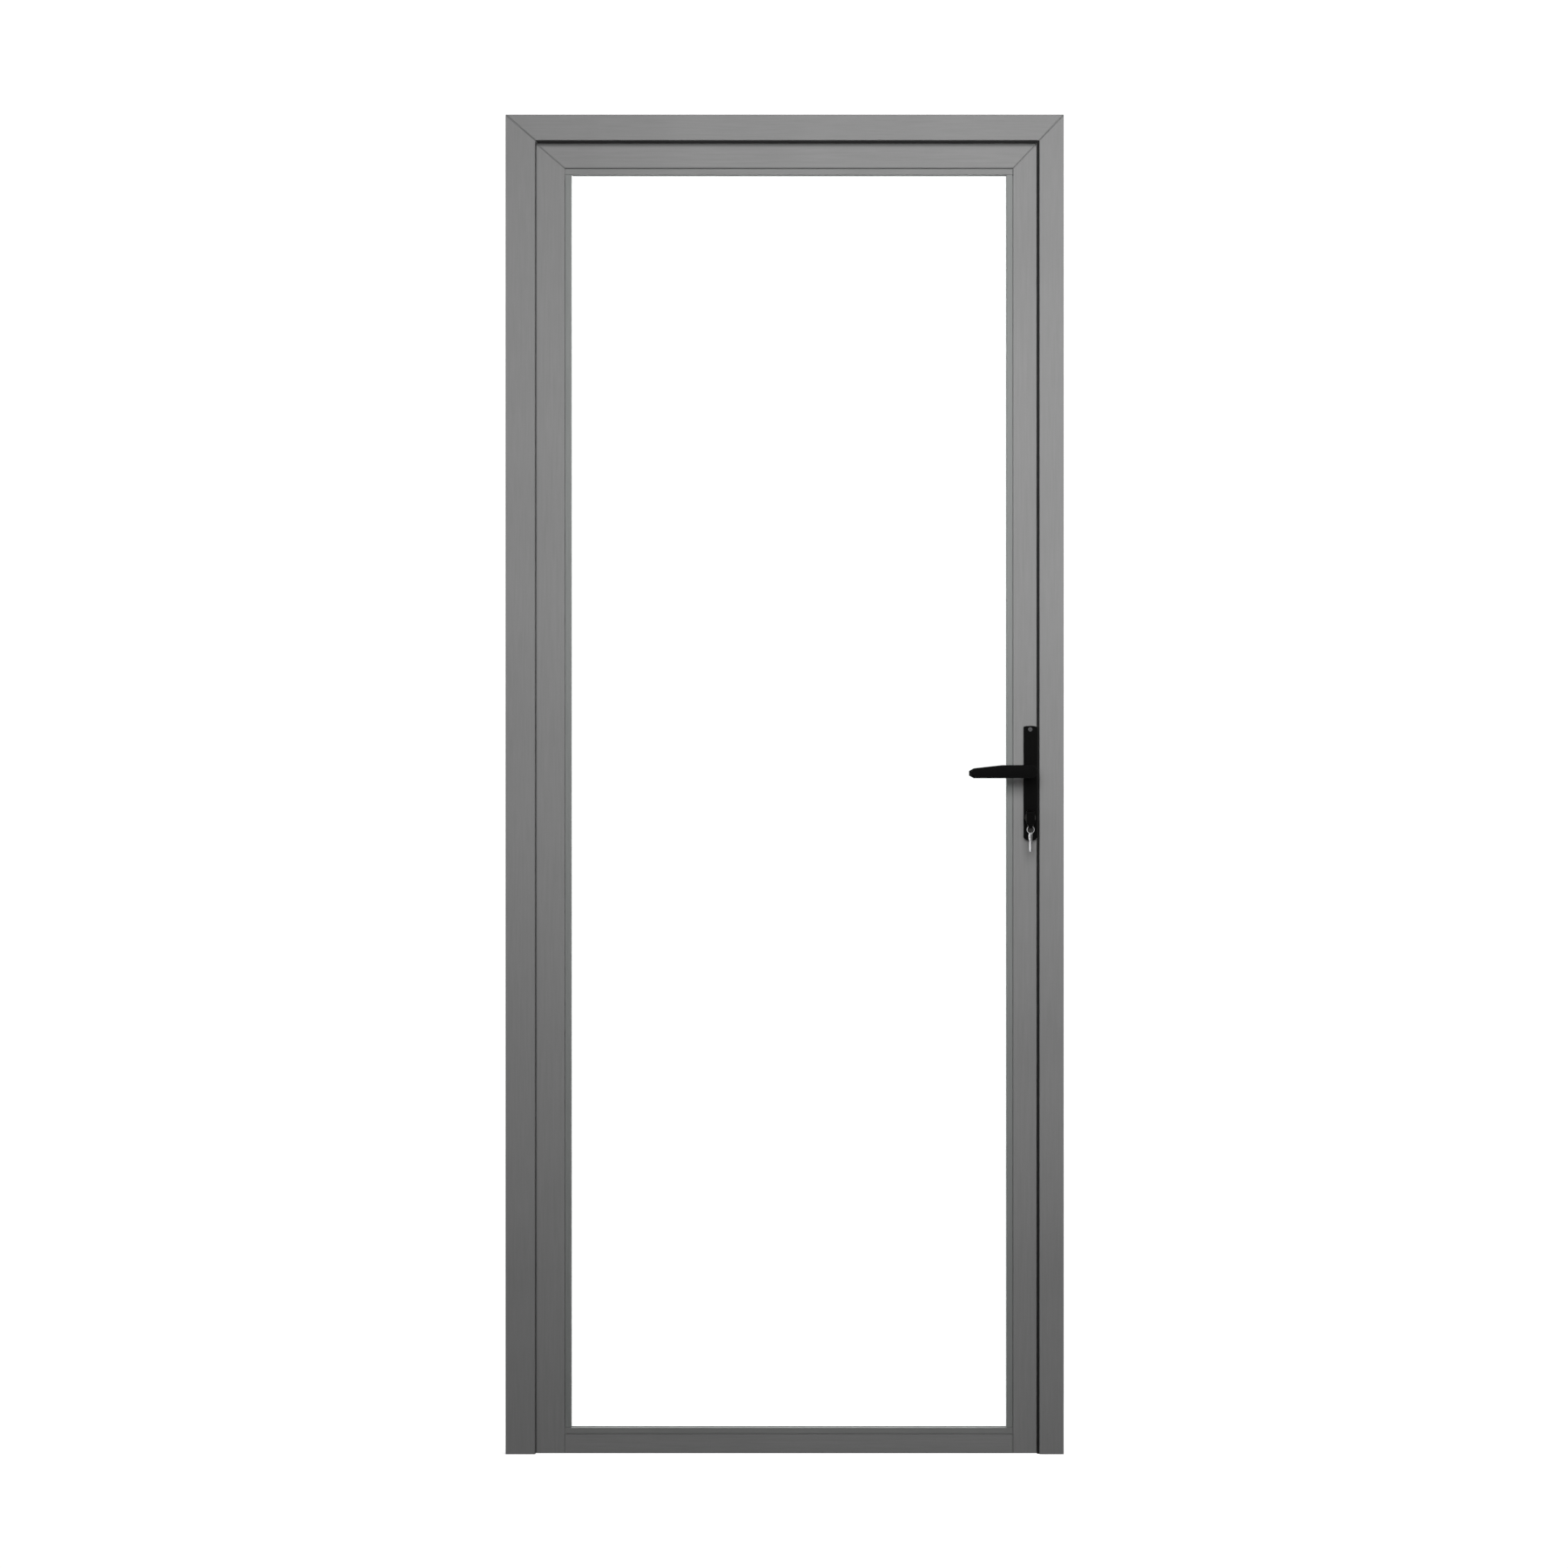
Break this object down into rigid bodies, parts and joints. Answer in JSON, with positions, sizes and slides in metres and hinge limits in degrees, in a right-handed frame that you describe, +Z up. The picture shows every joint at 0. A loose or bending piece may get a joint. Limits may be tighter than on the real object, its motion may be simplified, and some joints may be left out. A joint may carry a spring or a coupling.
{
  "type": "framed glass door",
  "caption": "Single swing glass door in a slim aluminium frame, with mitred glazed leaf, lever handle on a narrow backplate, lock with key, and frame without a sill.",
  "frame": {"origin": "on the floor, under the middle of the overall width and depth", "axes": "+X to the lock side seen from the front, +Y away from the viewer through the door, +Z up"},
  "size_m": [0.875, 0.16, 2.1],
  "materials": {
    "grey_aluminium": "matt grey powder coating",
    "plain_aluminium": "mill finish, sawn",
    "black_rubber": "extruded rubber",
    "steel": "zinc plated",
    "nickelled_brass": "nickel plated",
    "black_metal": "satin black coating",
    "black_plastic": "fine moulded",
    "clear_glass": "clear toughened"
  },
  "bodies": {
    "frame": {"jamb_hinge_side": "grey_aluminium", "jamb_lock_side": "grey_aluminium", "head": "grey_aluminium", "frame_corner_cleats": "plain_aluminium", "stop_gasket_hinge_side": "black_rubber", "stop_gasket_lock_side": "black_rubber", "stop_gasket_head": "black_rubber", "strike_plate": "steel", "strike_screws": "steel", "anchor_hole_caps": "black_plastic", "hinge_frame_half_lower": "grey_aluminium", "hinge_frame_half_middle": "grey_aluminium", "hinge_frame_half_upper": "grey_aluminium", "hinge_pins": "steel", "hinge_frame_screws": "steel"},
    "leaf": {"hinge_stile": "grey_aluminium", "lock_stile": "grey_aluminium", "top_rail": "grey_aluminium", "bottom_rail": "grey_aluminium", "leaf_corner_cleats": "plain_aluminium", "bottom_rail_screws": "steel", "glass_pane": "clear_glass", "glazing_bead_hinge_side": "grey_aluminium", "glazing_bead_lock_side": "grey_aluminium", "glazing_bead_top": "grey_aluminium", "glazing_bead_bottom": "grey_aluminium", "glazing_gasket_front": "black_rubber", "glazing_gasket_back": "black_rubber", "setting_blocks": "black_plastic", "bottom_seal": "black_rubber", "hinge_leaf_half_lower": "grey_aluminium", "hinge_leaf_half_middle": "grey_aluminium", "hinge_leaf_half_upper": "grey_aluminium", "hinge_bushes": "black_plastic", "hinge_leaf_screws": "steel", "lock_case": "steel", "lock_faceplate": "steel", "faceplate_screws": "steel", "cylinder_body": "nickelled_brass", "cylinder_screw": "steel", "outer_backplate": "black_metal", "inner_backplate": "black_metal", "backplate_screws": "steel"},
    "lever": {"outer_lever": "black_metal", "inner_lever": "black_metal", "spindle": "steel", "follower": "steel", "grub_screws": "steel"},
    "latch": {"latch_bolt": "steel"},
    "deadbolt": {"deadbolt": "steel"},
    "key": {"key_blade": "steel", "key_head": "black_plastic", "cylinder_plug": "nickelled_brass", "cylinder_cam": "steel"},
    "key_ring": {"key_ring": "steel", "spare_key": "steel"}
  },
  "joints": [
    {"name": "leaf_hinge", "type": "hinge", "parent": "frame", "child": "leaf", "pos_m": [-0.4045, 0.035, 0], "axis": [0, 0, 1], "range_deg": [0, 110]},
    {"name": "lever_turn", "type": "hinge", "parent": "leaf", "child": "lever", "pos_m": [0.385, 0, 1.07], "axis": [0, -1, 0], "range_deg": [0, 45], "stiffness_Nm_per_rad": 0.8, "springref_deg": -34.38},
    {"name": "latch_slide", "type": "slide", "parent": "leaf", "child": "latch", "axis": [-1, 0, 0], "range_m": [0, 0.012]},
    {"name": "deadbolt_slide", "type": "slide", "parent": "leaf", "child": "deadbolt", "axis": [1, 0, 0], "range_m": [0, 0.0201]},
    {"name": "key_turn", "type": "hinge", "parent": "leaf", "child": "key", "pos_m": [0.385, 0, 0.998], "axis": [0, 1, 0], "range_deg": [0, 360]},
    {"name": "ring_swing", "type": "hinge", "parent": "key", "child": "key_ring", "pos_m": [0.385, -0.0596, 0.9848], "axis": [1, 0, 0], "range_deg": [-25, 25]}
  ],
  "couplings": [
    {"joint": "latch_slide", "follows": "lever_turn", "m_per_rad": 0.015},
    {"joint": "deadbolt_slide", "follows": "key_turn", "m_per_rad": 0.0031831}
  ]
}
